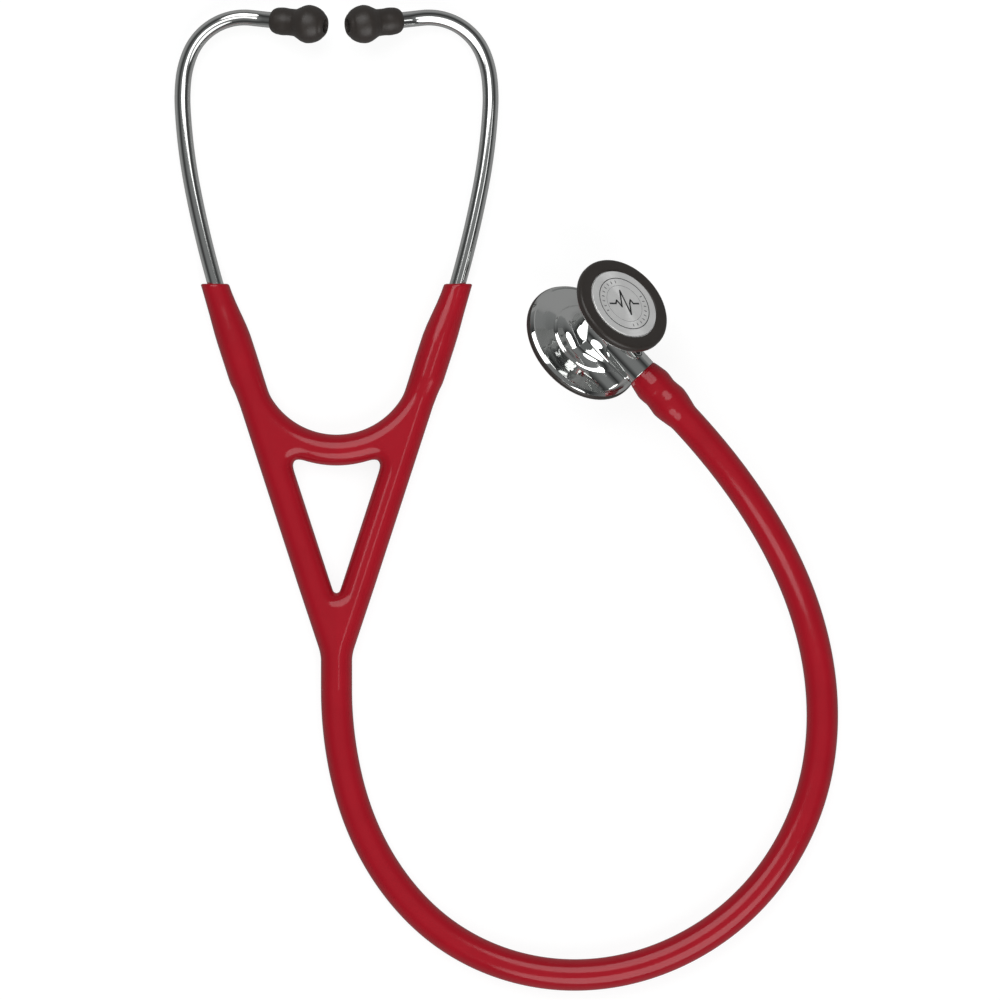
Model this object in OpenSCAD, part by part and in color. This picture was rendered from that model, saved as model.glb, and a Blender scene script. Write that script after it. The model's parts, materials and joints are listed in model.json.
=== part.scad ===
// Double-sided stethoscope lying flat on a table: headset with a leaf spring inside a
// one-piece vinyl tubing, and a two-headed steel chestpiece that turns on its stem.
// +Z is up, the table is z = 0, and the origin is under the middle of the rigid pieces.

/* [Tubing] */
// Angle between each yoke arm and the centre line
arm_tilt = 18.35; // [17:0.05:20]
// Distance from the yoke's crotch to the point where an arm flexes
pivot_reach = 95.2; // [90:0.1:98]
// Radius of the yoke arms
arm_r = 5.25; // [5:0.05:5.5]
// Radius of the bridge between the arms
bridge_r = 5.35; // [5:0.05:5.5]
// Radius of the yoke's stem, where both channels join
yoke_stem_r = 5.4; // [5.2:0.05:5.6]
// Length of the yoke's stem below the crotch
yoke_stem_l = 14; // [12:0.5:18]
// Radius of the hose
hose_r = 5.45; // [5.3:0.05:5.6]
// Radius of the sound channel in each arm
lumen_r = 2; // [1.5:0.1:2.2]

/* [Headset] */
// Radius of the sleeve that grips an ear tube
sleeve_r = 5.85; // [5.7:0.05:6]
// Length of the sleeve's straight part above the flex point
sleeve_l = 21.2; // [18:0.2:24]
// Radius of the sleeve's mouth
sleeve_mouth_r = 4.6; // [4.4:0.1:5]
// Outer radius of the steel ear tubes
ear_tube_r = 2.75; // [2.6:0.05:2.9]
// Inner radius of the steel ear tubes
ear_tube_bore_r = 1.9; // [1.6:0.1:2.1]
// Upward bend at the end of each ear tube
tip_lift = 19.4; // [10:0.2:24]
// Width of the leaf spring
spring_w = 6; // [5:0.5:6.5]
// Thickness of the leaf spring
spring_t = 0.6; // [0.4:0.1:0.8]
// Length of an ear tip
ear_tip_l = 19.6; // [18:0.2:22]

/* [Chestpiece] */
// Tilt of the two heads from lying flat
disc_tilt = 46.5; // [40:0.5:50]
// Direction of the stem, clockwise from +X
stem_turn = 47; // [40:0.5:54]
// Outer radius of the large rim
large_rim_r = 22.3; // [22:0.1:23]
// Outer radius of the small rim
small_rim_r = 17.9; // [17.5:0.1:18.5]
// Radius of the chestpiece stem
stem_r = 5.4; // [5.2:0.05:5.6]
// Radius of the stem's inner journal
journal_r = 3.6; // [3.4:0.05:3.8]
// Running clearance between the stem and its socket
running_gap = 0.05; // [0.03:0.01:0.08]
// Free inward travel of each tunable diaphragm
diaphragm_travel = 0.4; // [0.3:0.05:0.45]

/* [Hidden] */
$fn = 48;

vinyl = "#a01e2a";
steel = "#c8c8c6";
rubber = "#3a3532";

e = 0.01;                       // overlap of cutting tools past a face
table_gap = 0.05;               // lowest solids stay this far above z = 0

// Places of the yoke's crotch and of the chestpiece's centre
axis_z = sleeve_r + table_gap;
crotch = [-31.5, -104, axis_z];
chest_from_crotch = [90.6, 111.1];

// Bridge arc: tangent to both arms at the flex points
bridge_bend_r = pivot_reach * tan(arm_tilt);
bridge_y = pivot_reach / cos(arm_tilt);
socket_gap = 0.35;              // between a sleeve's ball and its socket in the yoke
tunnel_gap = 0.3;               // around the leaf spring
channel_r = 1.6;                // twin channels of the hose and the yoke's stem
channel_x = 2.2;
spring_reach = 8;               // straight ends of the spring past the flex points
tube_start = pivot_reach + 9;   // lower end of an ear tube, measured along the arm
bend_start = 131;               // an ear tube leaves the arm's line here
sleeve_top_y = 126.1;           // the sleeve's mouth is cut square to the centre line

// Ear tube beyond the arm: [bend radius, angle], each arc tangent to the last
ear_bends = [[65, -2.7], [405, -4.5], [205, -8], [62, -9], [33, -16], [20.3, -74.5]];
tip_bend_r = 15;
seam_trim = 0.05;               // the arcs stop this far short of each other
collar_step = 0.02;             // a collar at each seam is wider than the tube by this
collar_l = 0.4;
tip_setback = 2.5;              // from the end of an ear tube's last bend to its tip
tube_in_tip = 8;                // how far an ear tube goes into its tip, held by a bead
bead_r = 3.2;
bead_at = 4.5;
bead_l = 1.6;

// Ear tip: [distance from its back, radius]
tip_outline = [[0, 3.4], [0.8, 4.1], [2.4, 4.65], [4.4, 4.8], [6.6, 4.65], [8.4, 4.7],
    [10.2, 5.5], [11.8, 6.3], [13.4, 6.65], [15, 6.45], [16.5, 5.95], [18, 5],
    [ear_tip_l - 0.6, 4], [ear_tip_l, 3.1]];
tip_outlet_r = 2.4;
tip_outlet_l = 3;
tip_channel_r = 1.6;

// Stem stations along its axis, from the chestpiece's centre
journal_end = -6.2;
shoulder = 5.6;
hose_mouth = 21.6;
cuff_l = 21.7;
stem_end = 36.5;
stem_channel_x = 1.9;
stem_channel_r = 1.1;
port_r = 1.5;
snap_at = 2.6;
snap_w = 0.8;
snap_in_r = 3.05;
snap_out_r = 4.3;
seal_at = 4.4;
seal_r = 0.45;
dot_at = 15.4;
dot_r = 1.7;
dot_depth = 0.8;
dot_sunk = 0.3;                 // the flat dot's edges stay under the stem's round surface

// Cuff over the stem's barbs: [distance from the hose's mouth, radius]
cuff_outline = [[0, 5.45], [1.6, 6], [4.8, 6.6], [7.2, 6.5], [9.7, 6.3], [11.8, 6.5], [14, 6.75],
    [16.5, 6.5], [19, 5.9], [cuff_l, hose_r]];

// Chestpiece sections across the discs: z grows toward the small head
large_seat_z = -10.9;
large_flange_r = 21.2;
large_lip = [21.9, -9.95];      // radius and height of the edge that hides the rim's back
large_lip_r = 19.4;
large_edge = [-11.75, -11.35];
large_face_z = -12.4;
large_rim_bottom = -12.3;
small_seat_z = 14.8;
small_flange_r = 16.9;
small_lip = [17.5, 13.35];
small_lip_r = 13.2;
small_edge = [15.25, 15.65];
small_face_z = 16.3;
small_rim_top = 16.2;
side_gap = 0.3;
neck_r = 7.8;
detent_ball_r = 0.8;
detent_wire_r = 0.12;
detent_hole_r = 1;
detent_screw_r = 1.25;
detent_z = [journal_r + 0.1, 5.3, 6.3, neck_r];

// The chestpiece rests on the corner of its large rim
rim_corner = [21.8, large_rim_bottom];
chest_z = -rim_corner[1] * cos(disc_tilt) + rim_corner[0] * sin(disc_tilt) + table_gap;
chest = [crotch[0] + chest_from_crotch[0], crotch[1] + chest_from_crotch[1], chest_z];

// Route of the hose from the yoke's stem to the cuff, from the crotch, hand placed
hose_route = [[0, -14, 5.9], [2, -37, 5.8], [8, -59, 5.6], [18, -78, 5.5], [36.5, -97.5, 5.5],
    [55, -107.5, 5.5], [74.5, -112, 5.5], [99.5, -110.5, 5.5], [123, -101.5, 5.5],
    [140, -89, 5.5], [154.5, -71, 5.5], [163.5, -51, 5.5], [167.5, -27.5, 5.5],
    [166.5, -7.5, 6.5], [160.5, 16.5, 10.5], [151, 37.5, 16], [139, 56.5, 21]];
stem_dir = [cos(stem_turn), -sin(stem_turn), 0];
cuff_end = [chest_from_crotch[0], chest_from_crotch[1], chest_z]
    + (hose_mouth + cuff_l) * stem_dir;
hose_points = concat(hose_route, [cuff_end]);

// ---------- helpers ----------

module at_crotch() { translate(crotch) children(); }
module over_crotch() { translate([crotch[0], crotch[1], 0]) children(); }
module on_arm(side) { at_crotch() rotate([0, 0, -side * arm_tilt]) children(); }
module at_chest() { translate(chest) rotate([-disc_tilt, 0, -stem_turn]) children(); }
module rod_y(r, from, to) {
    translate([0, from, 0]) rotate([-90, 0, 0]) cylinder(r = r, h = to - from);
}
module along_x() { rotate([0, 90, 0]) children(); }
module rod_x(r, from, to) { along_x() translate([0, 0, from]) cylinder(r = r, h = to - from); }

function unit(v) = v / norm(v);

// A round tube swept along points, as one polyhedron; first and last aim its end faces
function path_tangent(p, i, first, last) =
    i == 0 ? first : i == len(p) - 1 ? last : unit(unit(p[i + 1] - p[i]) + unit(p[i] - p[i - 1]));
function ring(c, t, r, sides) =
    let (a = unit(cross(t, [0, 0, 1])), b = cross(a, t))
    [for (k = [0:sides - 1]) c + r * (cos(360 * k / sides) * a + sin(360 * k / sides) * b)];
module swept_tube(p, r, sides, first, last) {
    rings = [for (i = [0:len(p) - 1])
        each ring(p[i], path_tangent(p, i, first, last), r, sides)];
    n = len(p);
    walls = [for (i = [0:n - 2], k = [0:sides - 1])
        let (a = i * sides + k, b = i * sides + (k + 1) % sides)
        each [[a, b, b + sides], [a, b + sides, a + sides]]];
    caps = [[for (k = [sides - 1:-1:0]) k], [for (k = [0:sides - 1]) (n - 1) * sides + k]];
    polyhedron(points = rings, faces = concat(walls, caps), convexity = 6);
}

// ---------- tubing ----------

module bridge_arc() {
    translate([0, bridge_y, 0]) rotate([0, 0, 180 + arm_tilt])
        rotate_extrude(angle = 180 - 2 * arm_tilt) translate([bridge_bend_r, 0]) children();
}

module spring_tunnel() {
    bridge_arc() square([spring_t, spring_w] + 2 * tunnel_gap * [1, 1], center = true);
}

module yoke() {
    color(vinyl) difference() {
        union() {
            for (side = [-1, 1]) on_arm(side) rod_y(arm_r, 0, pivot_reach);
            at_crotch() bridge_arc() circle(r = bridge_r);
            at_crotch() rod_y(yoke_stem_r, -yoke_stem_l, 0);
            at_crotch() sphere(r = yoke_stem_r);
        }
        for (side = [-1, 1]) on_arm(side) {
            translate([0, pivot_reach, 0]) sphere(r = sleeve_r + socket_gap);
            rod_y(lumen_r, channel_x / sin(arm_tilt), pivot_reach);
        }
        at_crotch() {
            for (side = [-1, 1]) translate([side * channel_x, 0, 0])
                rod_y(channel_r, -yoke_stem_l - e, channel_x / tan(arm_tilt));
            spring_tunnel();
        }
    }
}

module hose() {
    color(vinyl) over_crotch()
        swept_tube(hose_points, hose_r, 12, [0, -1, 0], -stem_dir);
}
module hose_cuff() {
    color(vinyl) at_chest() along_x() translate([0, 0, hose_mouth])
        rotate_extrude() difference() {
            polygon(concat([[0, 0]], [for (p = cuff_outline) [p[1], p[0]]], [[0, cuff_l]]));
            barb_profile(hose_mouth);
        }
}

module headset_spring() {
    color("silver") {
        at_crotch() bridge_arc() square([spring_t, spring_w], center = true);
        for (side = [-1, 1]) on_arm(side)
            translate([-spring_t / 2, pivot_reach - 0.1, -spring_w / 2])
                cube([spring_t, spring_reach + 0.1, spring_w]);
    }
}

// ---------- headset ----------

module sleeve(side) {
    cone_l = 16.5;
    color(vinyl) difference() {
        on_arm(side) difference() {
            union() {
                translate([0, pivot_reach, 0]) sphere(r = sleeve_r);
                rod_y(sleeve_r, pivot_reach, pivot_reach + sleeve_l);
                translate([0, pivot_reach + sleeve_l, 0]) rotate([-90, 0, 0])
                    cylinder(r1 = sleeve_r, r2 = sleeve_mouth_r, h = cone_l);
            }
            rod_y(lumen_r, pivot_reach - sleeve_r - e, tube_start + e);
            rod_y(ear_tube_r, tube_start, pivot_reach + sleeve_l + cone_l + e);
            translate([-spring_t / 2 - tunnel_gap, pivot_reach - sleeve_r - e,
                -spring_w / 2 - tunnel_gap])
                cube([spring_t + 2 * tunnel_gap, sleeve_r + spring_reach + 0.5,
                    spring_w + 2 * tunnel_gap]);
        }
        at_crotch() {
            spring_tunnel();
            translate([side * 40 - 20, sleeve_top_y, -10]) cube([40, 20, 20]);
        }
    }
}

// Follows an ear tube from the end of the arm to the start of its last, lifted bend
module follow_bends(i = 0) {
    if (i == len(ear_bends)) children();
    else translate([-ear_bends[i][0], 0, 0]) rotate([0, 0, -ear_bends[i][1]])
        translate([ear_bends[i][0], 0, 0]) follow_bends(i + 1) children();
}
// Arcs stop short of each seam, and a collar a hair wider joins them
module seam_collar(r) { rod_y(r + collar_step, -collar_l / 2, collar_l / 2); }
module arc_rod(r, bend_r, angle) {
    trim = seam_trim / bend_r * 180 / PI;
    rotate([0, 0, trim]) rotate_extrude(angle = angle - 2 * trim)
        translate([bend_r, 0]) circle(r = r);
}
module bent_rod(r, i = 0) {
    seam_collar(r);
    if (i < len(ear_bends))
        translate([-ear_bends[i][0], 0, 0]) {
            arc_rod(r, ear_bends[i][0], -ear_bends[i][1]);
            rotate([0, 0, -ear_bends[i][1]]) translate([ear_bends[i][0], 0, 0])
                bent_rod(r, i + 1);
        }
}
module lifted_bend(r) {
    rotate([0, -90, 0]) translate([tip_bend_r, 0, 0]) rotate([0, 0, 180 - tip_lift])
        arc_rod(r, tip_bend_r, tip_lift);
}
// Where the ear tip begins: +Y points out of the tube's end
module at_tip(side) {
    mirror_side(side) on_arm(1) translate([0, bend_start, 0]) follow_bends()
        rotate([0, -90, 0]) translate([tip_bend_r, 0, 0]) rotate([0, 0, -tip_lift])
            translate([-tip_bend_r, 0, 0]) children();
}
// The left pieces are the right ones mirrored in the plane through the crotch
module mirror_side(side) {
    if (side > 0) children();
    else translate([2 * crotch[0], 0, 0]) mirror([1, 0, 0]) children();
}

module ear_tube_rod(side, r, extra) {
    mirror_side(side) on_arm(1) {
        rod_y(r, tube_start - extra, bend_start);
        translate([0, bend_start, 0]) {
            bent_rod(r);
            follow_bends() lifted_bend(r);
        }
    }
    at_tip(side) {
        seam_collar(r);
        rod_y(r, 0, tip_setback + tube_in_tip + extra);
    }
}
module ear_tube(side) {
    color(steel) difference() {
        union() {
            ear_tube_rod(side, ear_tube_r, 0);
            at_tip(side) translate([0, tip_setback, 0]) rod_y(bead_r, bead_at, bead_at + bead_l);
        }
        ear_tube_rod(side, ear_tube_bore_r, e);
    }
}

module ear_tip(side) {
    color(rubber) at_tip(side) rotate([-90, 0, 0]) translate([0, 0, tip_setback]) difference() {
        rotate_extrude()
            polygon(concat([[0, 0]], [for (p = tip_outline) [p[1], p[0]]], [[0, ear_tip_l]]));
        translate([0, 0, -e]) cylinder(r = ear_tube_r, h = tube_in_tip + e);
        translate([0, 0, bead_at]) cylinder(r = bead_r, h = bead_l);
        cylinder(r = tip_channel_r, h = ear_tip_l);
        translate([0, 0, ear_tip_l - tip_outlet_l])
            cylinder(r1 = tip_channel_r, r2 = tip_outlet_r, h = tip_outlet_l + e);
    }
}

// ---------- chestpiece ----------

// Half section of the barbed end; the distance runs from start along the axis
module barb_profile(start) {
    polygon([[0, 0], [4.2, 0], [4.2, 2.6], [5, 3.4], [4.2, 6.6], [4.2, 9.6], [5, 10.4], [4.2, 13],
        [3.9, stem_end - start], [0, stem_end - start]]);
}

module stem() {
    color(steel) at_chest() difference() {
        union() {
            rod_x(journal_r, journal_end, shoulder);
            rod_x(stem_r, shoulder, hose_mouth);
            along_x() translate([0, 0, hose_mouth]) rotate_extrude() barb_profile(hose_mouth);
        }
        for (side = [-1, 1]) translate([0, side * stem_channel_x, 0])
            rod_x(stem_channel_r, 0, stem_end + e);
        cylinder(r = port_r, h = journal_r + e);
        rod_x(2.4, -2.4, 1.5);
        ring_groove(snap_in_r, journal_r + e, snap_at, snap_w);
        ring_groove(journal_r - seal_r, journal_r + e, seal_at, 2 * seal_r);
        translate([dot_at, 0, stem_r - dot_depth]) cylinder(r = dot_r, h = 1);
    }
}
module ring_groove(inner, outer, at, width) {
    along_x() translate([0, 0, at]) difference() {
        cylinder(r = outer, h = width);
        translate([0, 0, -e]) cylinder(r = inner, h = width + 2 * e);
    }
}

module stem_snap_ring() {
    color("silver") at_chest() along_x() translate([0, 0, snap_at + 0.1]) rotate([0, 0, 20])
        rotate_extrude(angle = 320) translate([snap_in_r + 0.05, 0])
            square([snap_out_r - snap_in_r - 0.05, snap_w - 0.2]);
}

module stem_seal() {
    color("black") at_chest() along_x() translate([0, 0, seal_at + seal_r])
        rotate_extrude() translate([journal_r - seal_r + 0.4, 0]) circle(r = seal_r - 0.05);
}

module index_dot() {
    color("black") at_chest() translate([dot_at, 0, stem_r - dot_depth])
        cylinder(r = dot_r, h = dot_depth - dot_sunk);
}

module body_section() {
    polygon([[0, large_seat_z + 2], [3, large_seat_z + 2], [large_lip_r - 0.8, large_seat_z + 0.5],
        [large_lip_r - 0.4, large_seat_z], [large_flange_r, large_seat_z],
        [large_flange_r, large_lip[1]], large_lip, [large_lip[0], -9.6], [20.4, -9.1],
        [13.2, -8.2], [12.7, -7.4], [11.4, -6.9],
        [9.2, -5.9], [8.2, -4.2], [neck_r, -2], [neck_r, 3], [8.2, 6], [9.2, 8.4], [11, 10.6],
        [13.4, 12.2], [small_lip[0] - 0.3, 12.95], [small_lip[0], 13.15], small_lip,
        [small_flange_r, small_lip[1]],
        [small_flange_r, small_seat_z], [small_lip_r + 0.4, small_seat_z],
        [small_lip_r - 0.1, small_seat_z - 0.5], [3, small_seat_z - 2.4], [0, small_seat_z - 2.4]]);
}

module chestpiece_body() {
    saddle_end = 20.6;
    saddle_top = -1.5;
    color(steel) at_chest() difference() {
        union() {
            rotate_extrude($fn = 96) body_section();
            // saddle under the stem, open on the small head's side
            difference() {
                union() {
                    along_x() translate([0, 0, 4])
                        cylinder(r1 = 7.4, r2 = 6.2, h = saddle_end - 4);
                    translate([4, -4.6, large_seat_z + 1.3]) cube([saddle_end - 7.4, 9.2, 5]);
                }
                translate([neck_r - 1, -10, saddle_top]) cube([20, 20, 12]);
            }
        }
        rod_x(stem_r + running_gap, shoulder - running_gap, 24);
        rod_x(journal_r + running_gap, journal_end - 0.3, shoulder);
        ring_groove(journal_r, snap_out_r + 0.1, snap_at, snap_w);
        ring_groove(journal_r, journal_r + seal_r, seal_at, 2 * seal_r);
        translate([0, 0, large_seat_z]) cylinder(r = port_r, h = small_seat_z - large_seat_z);
        rotate([-90, 0, 0]) {
            cylinder(r = detent_hole_r, h = detent_z[3] + 1);
            translate([0, 0, detent_z[2]]) cylinder(r = detent_screw_r, h = 3);
        }
    }
}

module detent_ball() {
    color("silver") at_chest() rotate([-90, 0, 0])
        translate([0, 0, detent_z[0] + detent_ball_r]) sphere(r = detent_ball_r, $fn = 24);
}
module detent_spring() {
    turns = 2;
    steps = 12;
    from = detent_z[0] + 2 * detent_ball_r + detent_wire_r;
    to = detent_z[2] - detent_wire_r;
    coil_r = detent_hole_r - detent_wire_r - 0.1;
    points = [for (i = [0:turns * steps]) let (a = 360 * i / steps)
        [coil_r * cos(a), coil_r * sin(a), from + (to - from) * i / (turns * steps)]];
    color("silver") at_chest() rotate([-90, 0, 0])
        swept_tube(points, detent_wire_r, 6, unit(points[1] - points[0]),
            unit(points[turns * steps] - points[turns * steps - 1]));
}
module detent_screw() {
    color("dimgray") at_chest() rotate([-90, 0, 0]) difference() {
        translate([0, 0, detent_z[2]]) cylinder(r = detent_screw_r, h = 1.3);
        translate([-1, -0.2, detent_z[2] + 0.9]) cube([2, 0.4, 1]);
    }
}

module large_rim() {
    color(rubber) at_chest() rotate_extrude($fn = 96)
        polygon([[large_flange_r, large_edge[0] - running_gap], [large_flange_r, large_lip[1]],
            large_lip, [large_rim_r, -10.5], [large_rim_r, -11.7], rim_corner,
            [large_lip_r, large_rim_bottom], [large_lip_r, large_edge[0] - running_gap]]);
}
module large_diaphragm() {
    color("whitesmoke") at_chest() {
        disc(large_flange_r - side_gap, large_edge[0], large_edge[1]);
        disc(large_lip_r - side_gap, large_face_z, large_edge[1]);
    }
}
module small_rim() {
    color(rubber) at_chest() rotate_extrude($fn = 96)
        polygon([[small_flange_r, small_edge[1] + running_gap], [small_flange_r, small_lip[1]],
            small_lip, [small_rim_r, 13.8], [small_rim_r, 15.6], [17.3, small_rim_top],
            [small_lip_r, small_rim_top], [small_lip_r, small_edge[1] + running_gap]]);
}
module small_diaphragm() {
    color("whitesmoke") at_chest() {
        disc(small_flange_r - side_gap, small_edge[0], small_edge[1]);
        disc(small_lip_r - side_gap, small_edge[0], small_face_z);
    }
}
module disc(r, from, to) { translate([0, 0, from]) cylinder(r = r, h = to - from, $fn = 96); }

yoke();
hose();
hose_cuff();
headset_spring();
sleeve(-1);  // left_sleeve
ear_tube(-1);  // left_ear_tube
ear_tip(-1);  // left_ear_tip
sleeve(1);  // right_sleeve
ear_tube(1);  // right_ear_tube
ear_tip(1);  // right_ear_tip
stem();
stem_snap_ring();
stem_seal();
index_dot();
chestpiece_body();
detent_ball();
detent_spring();
detent_screw();
large_rim();
large_diaphragm();
small_rim();
small_diaphragm();
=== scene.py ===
"""Looks of the double-sided stethoscope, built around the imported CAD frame.

Outlines and fields are in millimetres, each in its own local frame: the yoke's frame starts
at the crotch with +Y toward the ears, and the chestpiece's frame has +X along the stem and
+Z toward the small head. Every mesh is handed to Blender in metres, in the row frame.
"""
import json
import math

import bmesh
import bpy
import numpy as np
from mathutils import Matrix, Vector


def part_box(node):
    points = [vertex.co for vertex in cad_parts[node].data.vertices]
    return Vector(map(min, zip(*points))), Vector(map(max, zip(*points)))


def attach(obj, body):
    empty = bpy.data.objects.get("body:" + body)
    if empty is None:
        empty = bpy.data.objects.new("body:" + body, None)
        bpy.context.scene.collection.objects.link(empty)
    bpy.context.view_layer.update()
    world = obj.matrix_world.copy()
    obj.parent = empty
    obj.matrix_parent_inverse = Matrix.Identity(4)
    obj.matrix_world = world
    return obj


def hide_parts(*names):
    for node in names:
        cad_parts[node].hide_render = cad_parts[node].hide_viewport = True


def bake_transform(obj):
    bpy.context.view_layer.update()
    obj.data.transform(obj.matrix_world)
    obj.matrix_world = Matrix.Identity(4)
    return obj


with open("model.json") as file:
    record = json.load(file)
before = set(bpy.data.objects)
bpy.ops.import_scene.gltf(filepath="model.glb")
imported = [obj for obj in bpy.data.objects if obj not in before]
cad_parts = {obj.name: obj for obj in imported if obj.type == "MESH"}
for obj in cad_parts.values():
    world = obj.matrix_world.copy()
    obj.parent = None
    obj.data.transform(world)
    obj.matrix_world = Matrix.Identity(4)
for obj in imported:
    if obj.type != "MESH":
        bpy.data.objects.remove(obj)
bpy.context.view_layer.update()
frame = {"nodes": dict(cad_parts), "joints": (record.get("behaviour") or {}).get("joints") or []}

MM = 0.001
joints = {j["name"]: j for j in frame["joints"]}


# ---------- places, read from the frame ----------

YOKE_STEM_L = 14.0              # from the crotch down to the hose
flex_left = Vector(joints["left_arm_spread"]["pos_m"])
flex_right = Vector(joints["right_arm_spread"]["pos_m"])
yoke_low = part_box("yoke")[0]
crotch = Vector(((flex_left.x + flex_right.x) / 2, yoke_low.y + YOKE_STEM_L * MM, flex_left.z))
ARM_TILT = math.atan2(flex_right.x - crotch.x, flex_right.y - crotch.y)
PIVOT_REACH = (flex_right - crotch).length / MM

chest = Vector(joints["chestpiece_swivel"]["pos_m"])
stem_dir = Vector(joints["chestpiece_swivel"]["axis"]).normalized()
face_dir = Vector(joints["large_diaphragm_press"]["axis"]).normalized()


def frame_matrix(origin, x_axis, z_axis):
    """Turns local millimetres into the row frame's metres."""
    y_axis = z_axis.cross(x_axis)
    turn = Matrix((x_axis, y_axis, z_axis)).transposed().to_4x4()
    return Matrix.Translation(origin) @ turn @ Matrix.Scale(MM, 4)


YOKE_FRAME = frame_matrix(crotch, Vector((1, 0, 0)), Vector((0, 0, 1)))
CHEST_FRAME = frame_matrix(chest, stem_dir, face_dir)
STEM_FRAME = CHEST_FRAME @ Matrix.Rotation(math.radians(90), 4, "Y")


# ---------- mesh helpers ----------

def new_object(name, mesh, material, place):
    """Links a mesh drawn in local millimetres, with its scale taken into the mesh."""
    mesh.transform(Matrix.Scale(MM, 4))
    obj = bpy.data.objects.new(name, mesh)
    obj.matrix_world = place @ Matrix.Scale(1 / MM, 4)
    bpy.context.scene.collection.objects.link(obj)
    mesh.materials.append(material)
    return obj


def smooth_mesh(name, points, faces, sharp=35):
    """A mesh with smooth shading, broken at edges sharper than the given degrees."""
    mesh = bpy.data.meshes.new(name)
    mesh.from_pydata([tuple(p) for p in points], [], [tuple(f) for f in faces])
    bm = bmesh.new()
    bm.from_mesh(mesh)
    bmesh.ops.recalc_face_normals(bm, faces=bm.faces)
    bm.to_mesh(mesh)
    bm.free()
    mesh.shade_smooth()
    mesh.set_sharp_from_angle(angle=math.radians(sharp))
    return mesh


def rounded(corners, step=12):
    """Fillets an outline of (x, y) or (x, y, radius) corners with arcs; step is in degrees."""
    out = []
    last = len(corners) - 1
    for i, corner in enumerate(corners):
        here = Vector(corner[:2])
        if len(corner) < 3 or i in (0, last):
            out.append(here)
            continue
        before = (Vector(corners[i - 1][:2]) - here).normalized()
        after = (Vector(corners[i + 1][:2]) - here).normalized()
        half = before.angle(after) / 2
        reach = corner[2] / math.tan(half)
        centre = here + (before + after).normalized() * corner[2] / math.sin(half)
        first = here + before * reach - centre
        final = here + after * reach - centre
        sweep_angle = first.angle_signed(final)
        steps = max(2, math.ceil(abs(math.degrees(sweep_angle)) / step))
        for k in range(steps + 1):
            turned = Matrix.Rotation(-sweep_angle * k / steps, 2) @ first
            out.append(centre + turned)
    return [(p.x, p.y) for p in out]


def lathe_mesh(name, outline, sides, sharp=35, ring=False):
    """Turns an outline of (radius, height) points round the local Z axis; a ring is closed."""
    points, rings = [], []
    for radius, height in outline:
        if radius < 1e-6:
            rings.append([len(points)] * sides)
            points.append((0, 0, height))
            continue
        rings.append(list(range(len(points), len(points) + sides)))
        angles = [2 * math.pi * k / sides for k in range(sides)]
        points += [(radius * math.cos(a), radius * math.sin(a), height) for a in angles]
    faces = []
    for low, high in zip(rings, rings[1:] + rings[:1] if ring else rings[1:]):
        for k in range(sides):
            quad = (low[k], low[(k + 1) % sides], high[(k + 1) % sides], high[k])
            corners = list(dict.fromkeys(quad))
            if len(corners) > 2:
                faces.append(corners)
    return smooth_mesh(name, points, faces, sharp)


def plates_mesh(name, outlines, low, high):
    """Thin flat plates, each the extrusion of an outline of (x, y) points."""
    points, faces = [], []
    for outline in outlines:
        n, base = len(outline), len(points)
        points += [(x, y, z) for z in (low, high) for x, y in outline]
        faces.append([base + k for k in range(n - 1, -1, -1)])
        faces.append([base + n + k for k in range(n)])
        for k in range(n):
            after = (k + 1) % n
            faces.append((base + k, base + after, base + n + after, base + n + k))
    return smooth_mesh(name, points, faces)


def sweep_mesh(name, path, radii, sides):
    """A closed tube along a path, with one radius to each point."""
    path = [Vector(p) for p in path]
    points, faces = [], []
    across = None
    for i, here in enumerate(path):
        ahead = path[min(i + 1, len(path) - 1)] - path[max(i - 1, 0)]
        ahead.normalize()
        across = ahead.cross(Vector((0, 0, 1))) if across is None else across
        across = (across - across.dot(ahead) * ahead).normalized()
        up = ahead.cross(across)
        for k in range(sides):
            a = 2 * math.pi * k / sides
            points.append(here + float(radii[i]) * (math.cos(a) * across + math.sin(a) * up))
    for i in range(len(path) - 1):
        for k in range(sides):
            low, high = i * sides, (i + 1) * sides
            after = (k + 1) % sides
            faces.append((low + k, low + after, high + after, high + k))
    faces.append(list(range(sides - 1, -1, -1)))
    faces.append(list(range((len(path) - 1) * sides, len(path) * sides)))
    return smooth_mesh(name, points, faces, sharp=60)


def clamped_spline(points, first_dir, last_dir, spacing):
    """A curve with continuous curvature through the points, aimed at both ends."""
    p = np.array(points, float)
    gap = np.linalg.norm(np.diff(p, axis=0), axis=1)
    n = len(p)
    system, right = np.zeros((n, n)), np.zeros((n, 3))
    slope = np.diff(p, axis=0) / gap[:, None]
    system[0, :2] = (2 * gap[0], gap[0])
    right[0] = 6 * (slope[0] - np.array(first_dir))
    for i in range(1, n - 1):
        system[i, i - 1:i + 2] = (gap[i - 1], 2 * (gap[i - 1] + gap[i]), gap[i])
        right[i] = 6 * (slope[i] - slope[i - 1])
    system[n - 1, n - 2:] = (gap[-1], 2 * gap[-1])
    right[n - 1] = 6 * (np.array(last_dir) - slope[-1])
    bend = np.linalg.solve(system, right)
    out = []
    for i in range(n - 1):
        steps = max(2, round(gap[i] / spacing))
        for k in range(steps + (i == n - 2)):
            b = k / steps
            a = 1 - b
            out.append(a * p[i] + b * p[i + 1]
                       + ((a ** 3 - a) * bend[i] + (b ** 3 - b) * bend[i + 1]) * gap[i] ** 2 / 6)
    return np.array(out)


# ---------- implicit surfaces ----------

SETTLE_ROUNDS = 4


def smooth_min(a, b, width):
    """The lower of two fields, rounded where they are within width of each other."""
    h = np.clip(0.5 + 0.5 * (b - a) / width, 0, 1)
    return b + (a - b) * h - width * h * (1 - h)


def smooth_max(a, b, width):
    """The higher of two fields, rounded likewise."""
    return -smooth_min(-a, -b, width)


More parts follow.
